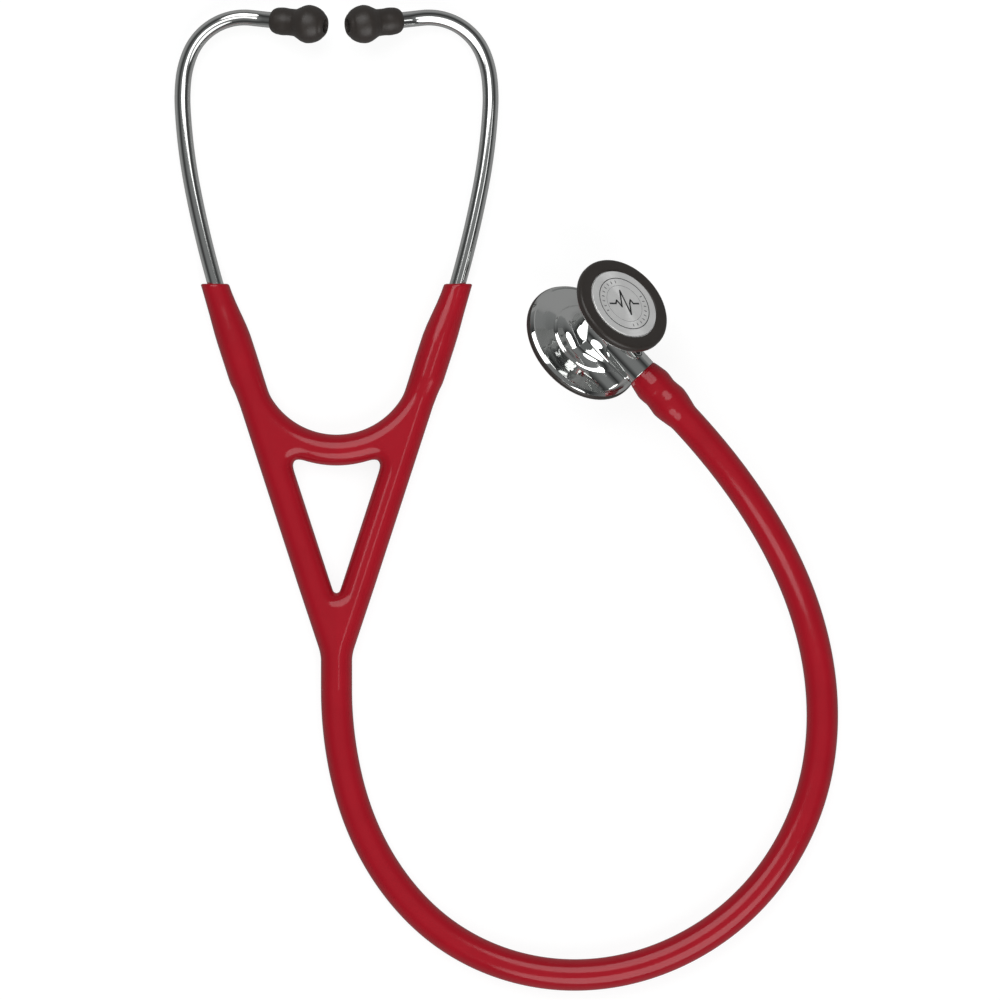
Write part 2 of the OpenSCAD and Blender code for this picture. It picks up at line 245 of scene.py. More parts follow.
def smooth_step(x, low, high):
    """Rises from 0 at low to 1 at high, level at both ends."""
    t = np.clip((x - low) / (high - low), 0, 1)
    return t * t * (3 - 2 * t)


def distance_table(starts, ends, inside, axis_u, axis_v):
    """Signed distance from each point of a grid to a set of straight strokes."""
    run = ends - starts
    size = np.maximum((run ** 2).sum(-1), 1e-12)
    table = np.zeros((len(axis_u), len(axis_v)))
    for i, u in enumerate(axis_u):
        p = np.stack([np.full(len(axis_v), u), axis_v], -1)[:, None]
        t = np.clip(((p - starts) * run).sum(-1) / size, 0, 1)
        table[i] = np.linalg.norm(p - starts - t[..., None] * run, axis=-1).min(1)
    return np.where(inside, -table, table)


def read_table(table, u, v):
    """Reads a table at fractional places between its grid points."""
    u = np.clip(u, 0, table.shape[0] - 1.001)
    v = np.clip(v, 0, table.shape[1] - 1.001)
    i, j = u.astype(int), v.astype(int)
    u, v = u - i, v - j
    low = table[i, j] * (1 - v) + table[i, j + 1] * v
    high = table[i + 1, j] * (1 - v) + table[i + 1, j + 1] * v
    return low * (1 - u) + high * u


def level_strokes(value, axis_u, axis_v):
    """Straight strokes along the zero level of a field sampled on a grid."""
    step = axis_u[1] - axis_u[0]
    starts, ends = [], []
    for i, j in np.argwhere(np.abs(value[:-1, :-1]) < 2 * step):
        corners = ((i, j), (i + 1, j), (i + 1, j + 1), (i, j + 1))
        cuts = []
        for a, b in zip(corners, corners[1:] + corners[:1]):
            if (value[a] < 0) != (value[b] < 0):
                share = value[a] / (value[a] - value[b])
                cuts.append((axis_u[a[0]] + share * (b[0] - a[0]) * step,
                             axis_v[a[1]] + share * (b[1] - a[1]) * step))
        for k in range(0, len(cuts) - 1, 2):
            starts.append(cuts[k])
            ends.append(cuts[k + 1])
    return np.array(starts), np.array(ends)


def gradient(field, points, h):
    """The field's slope at each point, taken over h mm to both sides."""
    parts = []
    for axis in range(3):
        shift = np.zeros(3)
        shift[axis] = h
        parts.append((field(points + shift) - field(points - shift)) / (2 * h))
    return np.stack(parts, -1)


def surface_net(field, low, high, step):
    """Vertices and quads on the field's zero level, one vertex to a cell of the grid."""
    axes = [np.arange(low[i], high[i] + step, step) for i in range(3)]
    grid = np.stack(np.meshgrid(*axes, indexing="ij"), -1)
    value = field(grid.reshape(-1, 3)).reshape(grid.shape[:3])
    cells = tuple(n - 1 for n in value.shape)
    total, count = np.zeros(cells + (3,)), np.zeros(cells)
    crossings = []
    for axis in range(3):
        start = [slice(None)] * 3
        end = [slice(None)] * 3
        start[axis], end[axis] = slice(None, -1), slice(1, None)
        a, b = value[tuple(start)], value[tuple(end)]
        crossed = (a < 0) != (b < 0)
        share = np.where(crossed, a / np.where(crossed, a - b, 1), 0)
        point = grid[tuple(start)].copy()
        point[..., axis] += share * step
        others = [i for i in range(3) if i != axis]
        for d1 in (0, 1):
            for d2 in (0, 1):
                part = [slice(None)] * 3
                part[others[0]] = slice(d1, cells[others[0]] + d1)
                part[others[1]] = slice(d2, cells[others[1]] + d2)
                part = tuple(part)
                total += np.where(crossed[part][..., None], point[part], 0)
                count += crossed[part]
        crossings.append((axis, others, crossed, a < 0))
    used = count > 0
    index = np.full(cells, -1)
    index[used] = np.arange(used.sum())
    points = total[used] / count[used][:, None]
    faces = []
    for axis, others, crossed, inside in crossings:
        at = np.argwhere(crossed)
        edge = (at[:, others[0]] > 0) & (at[:, others[1]] > 0)
        edge &= (at[:, others[0]] < cells[others[0]]) & (at[:, others[1]] < cells[others[1]])
        at = at[edge]
        flip = inside[tuple(at.T)] == (axis != 1)
        quad = []
        for d1, d2 in ((-1, -1), (0, -1), (0, 0), (-1, 0)):
            cell = at.copy()
            cell[:, others[0]] += d1
            cell[:, others[1]] += d2
            quad.append(index[tuple(cell.T)])
        quad = np.stack(quad, -1)
        quad[~flip] = quad[~flip][:, ::-1]
        faces.append(quad)
    return points, np.concatenate(faces)


def settle(field, points, h, keep_x0=False):
    """Moves points onto the field's zero level, and keeps those at x = 0 there if asked."""
    flat = np.abs(points[:, 0]) < 1e-6
    for _ in range(SETTLE_ROUNDS):
        slope = gradient(field, points, h)
        size = np.maximum((slope ** 2).sum(1), 1e-6)
        points = points - (field(points) / size)[:, None] * slope
        if keep_x0:
            points[flat, 0] = 0
    return points


def set_field_normals(mesh, field, h, flat_faces):
    """Shades a mesh with the field's own normals; flat faces keep theirs."""
    co = np.zeros(len(mesh.vertices) * 3)
    mesh.vertices.foreach_get("co", co)
    slope = gradient(field, co.reshape(-1, 3), h)
    slope /= np.linalg.norm(slope, axis=1)[:, None]
    corner = np.zeros(len(mesh.loops), int)
    mesh.loops.foreach_get("vertex_index", corner)
    normals = slope[corner]
    for face in mesh.polygons:
        if flat_faces(face):
            normals[face.loop_start:face.loop_start + face.loop_total] = face.normal
    mesh.shade_smooth()
    mesh.normals_split_custom_set(normals.tolist())


# ---------- materials ----------

NOISE_LOW, NOISE_HIGH = 0.35, 0.65      # where most of a noise texture's values lie


def fill_ramp(node, stops):
    """Sets a colour ramp's stops, each a place and a colour."""
    elements = node.color_ramp.elements
    while len(elements) < len(stops):
        elements.new(0.5)
    for element, (at, colour) in zip(elements, stops):
        element.position = at
        element.color = (*colour, 1)


class Nodes:
    """A material's node tree, built with few words."""

    def __init__(self, name):
        self.material = bpy.data.materials.new(name)
        self.material.use_nodes = True
        self.tree = self.material.node_tree
        self.tree.nodes.clear()
        self.shader = self.add("ShaderNodeBsdfPrincipled")
        self.output = self.add("ShaderNodeOutputMaterial")
        self.link(self.shader.outputs[0], self.output.inputs["Surface"])

    def add(self, kind, **settings):
        node = self.tree.nodes.new(kind)
        for key, value in settings.items():
            setattr(node, key, value)
        return node

    def link(self, source, target):
        self.tree.links.new(source, target)

    def set(self, node=None, **values):
        node = node or self.shader
        for key, value in values.items():
            node.inputs[key.replace("_", " ")].default_value = value

    def object_point(self):
        return self.add("ShaderNodeTexCoord").outputs["Object"]

    def noise(self, scale, detail=3.0, roughness=0.5):
        node = self.add("ShaderNodeTexNoise")
        self.set(node, Scale=scale, Detail=detail, Roughness=roughness)
        self.link(self.object_point(), node.inputs["Vector"])
        return node.outputs["Fac"]

    def spread(self, value, low, high):
        """Maps a noise's middle range onto low to high."""
        node = self.add("ShaderNodeMapRange")
        for socket, number in zip(node.inputs[1:5], (NOISE_LOW, NOISE_HIGH, low, high)):
            socket.default_value = number
        self.link(value, node.inputs[0])
        return node.outputs[0]

    def ramp(self, value, *stops):
        node = self.add("ShaderNodeValToRGB")
        fill_ramp(node, stops)
        self.link(value, node.inputs[0])
        return node.outputs[0]

    def bump(self, height, distance, strength):
        node = self.add("ShaderNodeBump")
        self.set(node, Strength=strength, Distance=distance)
        self.link(height, node.inputs["Height"])
        self.link(node.outputs[0], self.shader.inputs["Normal"])


def red_vinyl():
    """Glossy red vinyl, a little cloudy in colour and in gloss."""
    m = Nodes("red_vinyl")
    m.set(IOR=1.45, Specular_IOR_Level=0.42, Specular_Tint=(1.0, 0.8, 0.82, 1))
    clouds = m.noise(90, 4)
    m.link(m.ramp(clouds, (0.3, (0.350, 0.0085, 0.018)), (0.7, (0.380, 0.0092, 0.0195))),
           m.shader.inputs["Base Color"])
    m.link(m.spread(m.noise(260, 3), 0.11, 0.18), m.shader.inputs["Roughness"])
    m.bump(m.noise(900, 2), 0.000012, 0.35)
    return m.material


def chrome(name="polished_steel", rough=(0.035, 0.075)):
    """Polished metal, with its roughness between two values."""
    m = Nodes(name)
    m.set(Metallic=1.0, Base_Color=(0.70, 0.71, 0.70, 1))
    m.link(m.spread(m.noise(180, 5, 0.6), *rough), m.shader.inputs["Roughness"])
    m.bump(m.noise(420, 2), 0.000004, 0.3)
    return m.material


def satin_rubber(name, dark, light, rough, grain):
    """Rubber between two colours and two roughnesses, with a fine grain in metres."""
    m = Nodes(name)
    m.set(IOR=1.45, Specular_IOR_Level=0.5)
    m.link(m.ramp(m.noise(150, 4), (0.3, dark), (0.7, light)), m.shader.inputs["Base Color"])
    m.link(m.spread(m.noise(500, 3), *rough), m.shader.inputs["Roughness"])
    m.bump(m.noise(3200, 2), grain, 0.5)
    return m.material


def silver_foil():
    """Foil brushed in circles, under a clear resin face."""
    m = Nodes("silver_foil")
    m.set(Metallic=0.55, Anisotropic=0.85, Coat_Weight=0.3, Coat_Roughness=0.2)
    split = m.add("ShaderNodeSeparateXYZ")
    m.link(m.object_point(), split.inputs[0])
    flat = m.add("ShaderNodeCombineXYZ")
    m.link(split.outputs[0], flat.inputs[0])
    m.link(split.outputs[1], flat.inputs[1])
    length = m.add("ShaderNodeVectorMath", operation="LENGTH")
    m.link(flat.outputs[0], length.inputs[0])
    rings = m.add("ShaderNodeTexNoise", noise_dimensions="1D")
    m.set(rings, Scale=5200, Detail=3.0, Roughness=0.7)
    m.link(length.outputs["Value"], rings.inputs["W"])
    m.link(m.ramp(rings.outputs["Fac"], (0.25, (0.88, 0.88, 0.875)), (0.75, (0.96, 0.96, 0.95))),
           m.shader.inputs["Base Color"])
    m.link(m.spread(rings.outputs["Fac"], 0.34, 0.44), m.shader.inputs["Roughness"])
    tangent = m.add("ShaderNodeTangent", direction_type="RADIAL", axis="Z")
    m.link(tangent.outputs[0], m.shader.inputs["Tangent"])
    m.bump(rings.outputs["Fac"], 0.00001, 0.4)
    return m.material


def ink(name="printed_ink", colour=(0.012, 0.012, 0.013)):
    """Printing ink, a little uneven."""
    m = Nodes(name)
    m.set(Roughness=0.35)
    lighter = tuple(1.6 * c for c in colour)
    m.link(m.ramp(m.noise(2400, 2), (0.35, colour), (0.7, lighter)), m.shader.inputs["Base Color"])
    return m.material


VINYL = red_vinyl()
CHROME = chrome()
TUBE_STEEL = chrome("tube_steel", (0.06, 0.10))
TIP_RUBBER = satin_rubber("ear_tip_silicone", (0.029, 0.0235, 0.0205), (0.036, 0.0295, 0.026),
                          (0.40, 0.48), 0.000006)
RIM_RUBBER = satin_rubber("rim_rubber", (0.028, 0.023, 0.020), (0.033, 0.027, 0.024),
                          (0.34, 0.42), 0.000004)
FOIL = silver_foil()
INK = ink()
PALE_INK = ink("pale_ink", (0.16, 0.16, 0.16))


# ---------- hose ----------

# The hose's route in mm from the crotch, height from the table: the same points as the CAD's
HOSE_ROUTE = [
    (0, -14, 5.9), (2, -37, 5.8), (8, -59, 5.6), (18, -78, 5.5), (36.5, -97.5, 5.5),
    (55, -107.5, 5.5), (74.5, -112, 5.5), (99.5, -110.5, 5.5), (123, -101.5, 5.5),
    (140, -89, 5.5), (154.5, -71, 5.5), (163.5, -51, 5.5), (167.5, -27.5, 5.5),
    (166.5, -7.5, 6.5), (160.5, 16.5, 10.5), (151, 37.5, 16), (139, 56.5, 21),
]
HOSE_R = 5.45
YOKE_STEM_R = 5.4
HOSE_MOUTH = 21.6               # from the chestpiece's centre to the hose's mouth
START_POINTS = 20               # points over which the yoke's stem widens to the hose
CUFF_L = 21.7
CUFF_STEPS = 110
LIP_L, LIP_R = 0.35, 0.3        # the mouth's rounded lip, along the hose and across it
# Cuff over the stem's barbs: (distance from the hose's mouth, radius)
CUFF = [(0, 5.5), (1.5, 5.85), (3.5, 6.25), (5.7, 6.6), (7.4, 6.5), (9.2, 6.28), (11.4, 6.5),
        (13.6, 6.75), (15.6, 6.55), (18.2, 6.05), (CUFF_L, HOSE_R)]


def soft_curve(points, x):
    """Smooth interpolation of (x, y) points, flat at peaks."""
    px, py = np.array(points, float).T
    slope = np.diff(py) / np.diff(px)
    tangent = np.zeros(len(px))
    rising = slope[:-1] * slope[1:] > 0
    mean = 2 * slope[:-1] * slope[1:] / np.where(rising, slope[:-1] + slope[1:], 1)
    tangent[1:-1] = np.where(rising, mean, 0)
    i = np.clip(np.searchsorted(px, x) - 1, 0, len(px) - 2)
    width = px[i + 1] - px[i]
    t = (x - px[i]) / width
    return (py[i] * (1 + 2 * t) * (1 - t) ** 2 + py[i + 1] * t * t * (3 - 2 * t)
            + width * (tangent[i] * t * (1 - t) ** 2 - tangent[i + 1] * t * t * (1 - t)))


def make_hose():
    """The free hose and its cuff, which swells over the stem's barbs, as one tube."""
    over = Vector((crotch.x, crotch.y, 0))
    route = [over + Vector(p) * MM for p in HOSE_ROUTE]
    cuff_end = chest + stem_dir * (HOSE_MOUTH + CUFF_L) * MM
    mouth = chest + stem_dir * HOSE_MOUTH * MM
    path = clamped_spline([*route, cuff_end], (0, -1, 0), -stem_dir, 1.5 * MM)
    bends = len(path)
    straight = [cuff_end.lerp(mouth, k / CUFF_STEPS) for k in range(1, CUFF_STEPS + 1)]
    path = np.vstack([path, np.array(straight)])
    from_mouth = np.linspace(CUFF_L, 0, CUFF_STEPS + 1)[1:]
    radii = np.full(len(path), HOSE_R)
    start = smooth_step(np.arange(START_POINTS), 0, START_POINTS - 1)
    radii[:START_POINTS] = YOKE_STEM_R + (HOSE_R - YOKE_STEM_R) * start
    radii[bends:] = soft_curve(CUFF, from_mouth)
    lip = np.clip(1 - from_mouth / LIP_L, 0, 1)
    radii[bends:] -= LIP_R * (1 - np.sqrt(1 - lip ** 2))
    mesh = sweep_mesh("hose_tube", path / MM, radii, sides=64)
    hose = new_object("hose_tube", mesh, VINYL, Matrix.Scale(MM, 4))
    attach(hose, "tubing")
    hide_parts("hose", "hose_cuff")


make_hose()


# ---------- yoke and sleeves ----------

# Half width of an arm and its sleeve: (distance from the crotch, half width), on the side away
# from the bridge and on the side toward it, then half their thickness
OUTER_EDGE = [(24, 5.68), (90, 5.22), (93.9, 5.26), (98.3, 5.88), (100, 5.93), (112, 5.84),
              (116, 5.74), (120, 5.52), (124, 5.28), (133, 4.88)]
INNER_EDGE = [(24, 5.22), (64, 5.47), (84, 5.6), (96, 5.74), (104, 5.91), (112.5, 5.96),
              (116, 5.74), (120, 5.3), (124, 4.83), (128, 4.52), (133, 4.4)]
HALF_THICKNESS = [(0, 5.45), (64, 5.43), (92, 5.3), (99, 5.9), (112, 5.9), (116, 5.74),
                  (120, 5.41), (124, 5.05), (128, 4.8), (133, 4.64)]
SLEEVE_TOP_Y = 126.1
SLEEVE_TOP_ROUNDING = 0.6
SIN_TILT, COS_TILT = math.sin(ARM_TILT), math.cos(ARM_TILT)
# The bridge is an arc that leaves both arms in line with them, at their pivots
BRIDGE_R = 5.35
BRIDGE_BEND_R = PIVOT_REACH * math.tan(ARM_TILT)
BRIDGE_Y = PIVOT_REACH / math.cos(ARM_TILT)
# How far two parts flow into each other, and the heights between which that changes
CROTCH_WEB, STEM_WEB, WINDOW_WEB, BRIDGE_WEB = 0.5, 0.8, 4.9, 0.3
LEAST_WEB = 0.02
CROTCH_RISE, WINDOW_FALL = (5, 13), (68, 78)
HOLLOW_R = 1.3                  # no hollow corner of the moulding is tighter than this
NET_STEP = 0.7
YOKE_SLOPE_H = 0.2              # reach in mm over which the field's slope is taken
YOKE_SHADE_H = 0.8
ON_PLANE = 1e-4
OUTLINE_STEP = 0.5
OUTLINE_X = np.arange(-3, 54, OUTLINE_STEP)
OUTLINE_Y = np.arange(-24, 134, OUTLINE_STEP)


def flat_outline(x, y):
    """Zero on the yoke's outline as seen from above, and negative inside it."""
    from_crotch = np.hypot(x, y)
    arms = []
    for side in (-1, 1):
        along = side * x * SIN_TILT + y * COS_TILT
        across = side * x * COS_TILT - y * SIN_TILT
        gap = np.where(along < 0, from_crotch, np.abs(across))
        edges = [np.interp(along, *np.array(e).T) for e in (INNER_EDGE, OUTER_EDGE)]
        arms.append(gap - np.where(across < 0, *edges))
    web = LEAST_WEB + CROTCH_WEB * smooth_step(y, *CROTCH_RISE)
    outline = smooth_min(arms[0], arms[1], web)
    stem = np.where(y > 0, from_crotch, np.abs(x)) - YOKE_STEM_R
    outline = smooth_min(outline, stem, STEM_WEB)
    from_centre = np.hypot(x, y - BRIDGE_Y)
    in_arc = (BRIDGE_Y - y) > from_centre * SIN_TILT
    ends = np.hypot(np.abs(x) - PIVOT_REACH * SIN_TILT, y - PIVOT_REACH * COS_TILT)
    bridge = np.where(in_arc, np.abs(from_centre - BRIDGE_BEND_R), ends) - BRIDGE_R
    web = BRIDGE_WEB + (WINDOW_WEB - BRIDGE_WEB) * (1 - smooth_step(y, *WINDOW_FALL))
    return smooth_min(outline, bridge, web)


def yoke_outline_table():
    """Signed distance to the outline on a grid, with its hollow corners rounded."""
    x, y = np.meshgrid(OUTLINE_X, OUTLINE_Y, indexing="ij")
    value = flat_outline(x, y)
    for swell in (HOLLOW_R, -HOLLOW_R):
        starts, ends = level_strokes(value, OUTLINE_X, OUTLINE_Y)
        value = distance_table(starts, ends, value < 0, OUTLINE_X, OUTLINE_Y) - swell
    starts, ends = level_strokes(value, OUTLINE_X, OUTLINE_Y)
    return distance_table(starts, ends, value < 0, OUTLINE_X, OUTLINE_Y)


YOKE_TABLE = yoke_outline_table()


def yoke_field(p):
    """A flat outline, rounded over its edge by the radius of its arms."""
    x, y, z = p.T
    u = (np.abs(x) - OUTLINE_X[0]) / OUTLINE_STEP
    edge = read_table(YOKE_TABLE, u, (y - OUTLINE_Y[0]) / OUTLINE_STEP)
    along = np.abs(x) * SIN_TILT + y * COS_TILT
    radius = np.interp(along, *np.array(HALF_THICKNESS).T)
    body = np.hypot(np.maximum(edge + radius, 0), z) - radius
    return smooth_max(body, y - SLEEVE_TOP_Y, SLEEVE_TOP_ROUNDING)


def half_yoke_mesh(points, faces, side):
    """One side's half of the yoke as a closed mesh, flat where it meets the other half."""
    mesh = bpy.data.meshes.new("yoke_half")
    if side < 0:
        points, faces = points * (-1, 1, 1), faces[:, ::-1]
    mesh.from_pydata(points.tolist(), [], faces.tolist())
    bm = bmesh.new()
    bm.from_mesh(mesh)
    everything = bm.verts[:] + bm.edges[:] + bm.faces[:]
    bmesh.ops.bisect_plane(bm, geom=everything, dist=1e-5, plane_co=(0, -YOKE_STEM_L, 0),
                           plane_no=(0, -1, 0), clear_outer=True)
    for flat in (lambda v: abs(v.co.y + YOKE_STEM_L) < ON_PLANE,
                 lambda v: abs(v.co.x) < ON_PLANE):
        rim = [e for e in bm.edges if e.is_boundary and all(flat(v) for v in e.verts)]
        bmesh.ops.edgeloop_fill(bm, edges=rim)
    bmesh.ops.recalc_face_normals(bm, faces=bm.faces)
    bm.to_mesh(mesh)
    bm.free()

    def is_flat(face):
        across = max(abs(mesh.vertices[v].co.x) for v in face.vertices)
        end = max(abs(mesh.vertices[v].co.y + YOKE_STEM_L) for v in face.vertices)
        return min(across, end) < ON_PLANE

    set_field_normals(mesh, yoke_field, YOKE_SHADE_H, is_flat)
    return mesh


def make_yoke():
    """The yoke and both sleeves in two halves, which meet at x = 0.

    Returns the right half.
    """
    # The grid's first cells lie on both sides of x = 0, so that the halves meet there
    low = (-NET_STEP / 2, -18, -9.5 * NET_STEP)
    high = (50, SLEEVE_TOP_Y + 2, 9.5 * NET_STEP)
    points, faces = surface_net(yoke_field, low, high, NET_STEP)
    points = settle(yoke_field, points, YOKE_SLOPE_H, keep_x0=True)
    for side, word, flex in ((-1, "left", flex_left), (1, "right", flex_right)):
        mesh = half_yoke_mesh(points, faces, side)
        half = new_object(f"{word}_yoke_and_sleeve", mesh, VINYL, YOKE_FRAME)
        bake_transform(half)
        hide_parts(f"{word}_sleeve", *(["yoke"] if side < 0 else []))
    return half


right_arm = make_yoke()


# ---------- headset ----------

EAR_TUBE_R = 2.75
TIP_BORE_R = 2.78
TUBE_START = PIVOT_REACH + 9    # inside the sleeve
BEND_STEP, PATH_STEP = 2.5, 2.0     # in a bend, points lie at most this far apart: degrees, mm
STRAIGHT_STEPS, TIP_BEND_STEPS, TIP_STEPS = 10, 8, 5
BEND_START = 131.0
# Ear tube beyond the arm: (bend radius, angle), each arc tangent to the last
EAR_BENDS = [(65, -2.7), (405, -4.5), (205, -8), (62, -9), (33, -16), (20.3, -74.5)]
TIP_BEND_R = 15.0
TIP_LIFT = math.radians(19.4)
TIP_SETBACK = 2.5               # straight tube between its last bend and its tip
TUBE_IN_TIP = 8.0
# Ear tip: (distance from its back, radius), then its lip and bore: (radius, distance, fillet)
TIP_OUTLINE = [(0, 3.4), (0.8, 4.1), (2.4, 4.65), (4.4, 4.8), (6.6, 4.65), (8.4, 4.7),
               (10.2, 5.5), (11.8, 6.3), (13.4, 6.65), (15, 6.45), (16.5, 5.95), (18, 5.05),
               (19, 4.05)]
BULB_START, BULB_POINTS = 0.6, 60
TIP_LIP = [(3.1, 19.75, 0.7), (2.4, 19.6, 0.25), (2.3, 18.2, 0.5), (1.6, 15.5, 2), (1.6, 8.4),
           (TIP_BORE_R, 8.4), (TIP_BORE_R, 0)]


def ear_tube_path(side):
    """Centre line of one ear tube in the yoke's frame, and the direction out of its end."""
    heading = ARM_TILT
    here = Vector((math.sin(heading), math.cos(heading), 0)) * TUBE_START
    path = [here.copy()]
    straight = BEND_START - TUBE_START
    for k in range(STRAIGHT_STEPS):
        ahead = Vector((math.sin(heading), math.cos(heading), 0))
        here = here + ahead * straight / STRAIGHT_STEPS
        path.append(here)
    for bend_r, degrees in EAR_BENDS:
        arc = bend_r * math.radians(abs(degrees))
        steps = max(4, math.ceil(abs(degrees) / BEND_STEP), math.ceil(arc / PATH_STEP))
        turn = math.radians(degrees) / steps
        for _ in range(steps):
            chord = 2 * bend_r * math.sin(abs(turn) / 2)
            middle = heading + turn / 2
            here = here + Vector((math.sin(middle), math.cos(middle), 0)) * chord
            heading += turn
            path.append(here)
    level = Vector((math.sin(heading), math.cos(heading), 0))
    for k in range(TIP_BEND_STEPS):
        middle = TIP_LIFT * (k + 0.5) / TIP_BEND_STEPS
        chord = 2 * TIP_BEND_R * math.sin(TIP_LIFT / TIP_BEND_STEPS / 2)
        here = here + (level * math.cos(middle) + Vector((0, 0, math.sin(middle)))) * chord
        path.append(here)
    out = level * math.cos(TIP_LIFT) + Vector((0, 0, math.sin(TIP_LIFT)))
    reach = TIP_SETBACK + TUBE_IN_TIP
    path += [here + out * reach * k / TIP_STEPS for k in range(1, TIP_STEPS + 1)]
    mirror = Vector((side, 1, 1))
    return [p * mirror for p in path], (here + out * TIP_SETBACK) * mirror, out * mirror


def make_headset(side, word):
    """One ear tube and the soft tip on it; returns the tube."""
    path, tip_start, out = ear_tube_path(side)
    mesh = sweep_mesh(f"{word}_tube", path, [EAR_TUBE_R] * len(path), sides=48)
    tube = new_object(f"{word}_bent_tube", mesh, TUBE_STEEL, YOKE_FRAME)
    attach(tube, f"{word}_headset")
    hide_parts(f"{word}_ear_tube")
    back_to_front = np.linspace(BULB_START, TIP_OUTLINE[-1][0], BULB_POINTS)
    bulb = [(r, d) for d, r in zip(back_to_front, soft_curve(TIP_OUTLINE, back_to_front))]
    back = rounded([(TIP_BORE_R, 0), (3.3, 0, 0.3), bulb[0]], step=20)
    outline = back + bulb[1:] + rounded([bulb[-2], bulb[-1], *TIP_LIP], step=15)[2:]
    mesh = lathe_mesh(f"{word}_tip", outline[:-1], sides=64, sharp=60, ring=True)
    side_way = Vector((0, 0, 1)).cross(out).normalized()
    place = YOKE_FRAME @ frame_matrix(tip_start, side_way, out)
    tip = new_object(f"{word}_soft_tip", mesh, TIP_RUBBER, place @ Matrix.Scale(1 / MM, 4))
    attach(tip, f"{word}_headset")
    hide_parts(f"{word}_ear_tip")
    return tube


left_tube = make_headset(-1, "left")
right_tube = make_headset(1, "right")


# ---------- chestpiece ----------

# Turned body: (radius, height, fillet), from the large head's face round to the small one's
BODY_OUTLINE = [
    (0, -10.8), (20.8, -10.8, 0.1), (20.8, -9.14, 0.1), (16.4, -8.8, 14), (13.2, -8.1, 0.5),
    (12.6, -7.4, 0.5), (8.3, -6.2, 3.6), (7.8, 0, 12), (8.1, 9.6, 4.5), (13.4, 12.3, 8),
    (16.8, 12.94, 0.1), (16.8, 14.6, 0.2), (0, 14.6)]
# The flanges behind the rims: closed outlines of (radius, height, fillet)
LARGE_FLANGE = [(19.6, -10.8), (19.6, -9.3), (20.55, -9.08, 0.1), (21.0, -8.98, 0.1),
                (21.9, -9.85, 0.05), (21.9, -9.95, 0.05), (21.15, -9.95, 0.1), (21.15, -10.8)]
SMALL_FLANGE = [(16.3, 14.7), (16.85, 14.7, 0.2), (16.85, 13.35, 0.1), (17.5, 13.35, 0.05),
                (17.5, 13.1, 0.1), (17.2, 12.9, 0.2), (16.3, 12.83)]
STEM_R = 5.4
# The saddle under the stem: where it starts and ends along the stem, its half width at both,
# and its top and floor
SADDLE = {"start": 2.0, "end": 20.4, "r_start": 7.4, "r_end": 6.2, "top": -1.5, "floor": -9.6}
SADDLE_WEB = 6.0                # how far the saddle and the body flow into each other
SADDLE_EDGE, SADDLE_START_EDGE, HOLE_EDGE = 0.8, 0.5, 0.3       # how far edges are rounded
FLOW_FLOOR = -10                # below this height the body is as it was turned
BODY_BOX = (-22.2, -22.2, -11.6), (22.2, 22.2, 15.6)
BODY_STEP = 0.4
BODY_SLOPE_H = 0.05
BODY_SHADE_H = 0.12
TABLE_STEP = 0.1
TABLE_LOW, TABLE_HIGH, TABLE_R = -14, 18, 25
SCREW_HOLE = (1.3, 6.2)         # radius, and the distance from the axis where it ends


def body_table():
    """Signed distance to the body's outline on a grid of radius and height."""
    line = np.array(rounded(BODY_OUTLINE, 5))
    a, b = line[:-1], line[1:]
    keep = np.linalg.norm(b - a, axis=1) > 1e-6
    a, b = a[keep], b[keep]
    radii = np.arange(0, TABLE_R, TABLE_STEP)
    heights = np.arange(TABLE_LOW, TABLE_HIGH, TABLE_STEP)
    run = b - a
    rise = np.where(np.abs(run[:, 1]) < 1e-9, 1, run[:, 1])
    spans = (a[:, 1] > heights[:, None]) != (b[:, 1] > heights[:, None])
    cut = a[:, 0] + (heights[:, None] - a[:, 1]) * run[:, 0] / rise
    inside = np.stack([(spans & (cut > r)).sum(1) % 2 == 1 for r in radii])
    return distance_table(a, b, inside, radii, heights)


BODY_TABLE = body_table()


def body_field(p):
    """The turned body with the saddle that flows up from it under the stem."""
    x, y, z = p.T
    from_axis = np.hypot(x, y)
    turned = read_table(BODY_TABLE, from_axis / TABLE_STEP, (z - TABLE_LOW) / TABLE_STEP)
    share = np.clip((x - SADDLE["start"]) / (SADDLE["end"] - SADDLE["start"]), 0, 1)
    half = SADDLE["r_start"] + (SADDLE["r_end"] - SADDLE["r_start"]) * share
    saddle = np.abs(y) - half
    saddle = smooth_max(saddle, z - SADDLE["top"], SADDLE_EDGE)
    saddle = smooth_max(saddle, SADDLE["start"] - x, SADDLE_START_EDGE)
    saddle = np.maximum(saddle, SADDLE["floor"] - z)
    flared = smooth_min(turned, saddle, SADDLE_WEB)
    flared = smooth_max(flared, from_axis - SADDLE["end"], SADDLE_EDGE)
    body = np.minimum(turned, np.maximum(flared, FLOW_FLOOR - z))
    hole_r, hole_end = SCREW_HOLE
    hole = np.maximum(np.hypot(x, z) - hole_r, hole_end - y)
    return smooth_max(body, -hole, HOLE_EDGE)


def make_body():
    """The chestpiece's body, without its two flanges."""
    points, faces = surface_net(body_field, *BODY_BOX, BODY_STEP)
    points = settle(body_field, points, BODY_SLOPE_H)
    mesh = bpy.data.meshes.new("turned_body")
    mesh.from_pydata(points.tolist(), [], faces.tolist())
    set_field_normals(mesh, body_field, BODY_SHADE_H, lambda face: False)
    body = new_object("turned_body", mesh, CHROME, CHEST_FRAME)
    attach(body, "chestpiece")
    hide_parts("chestpiece_body")


make_body()


def chest_lathe(name, outline, material, body, nodes=(), ring=False):
    """A turned piece of the chestpiece, in place of the named CAD nodes."""
    mesh = lathe_mesh(name, rounded(outline), sides=128, ring=ring)
    piece = new_object(name, mesh, material, CHEST_FRAME)
    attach(piece, body)
    if nodes:
        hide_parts(*nodes)


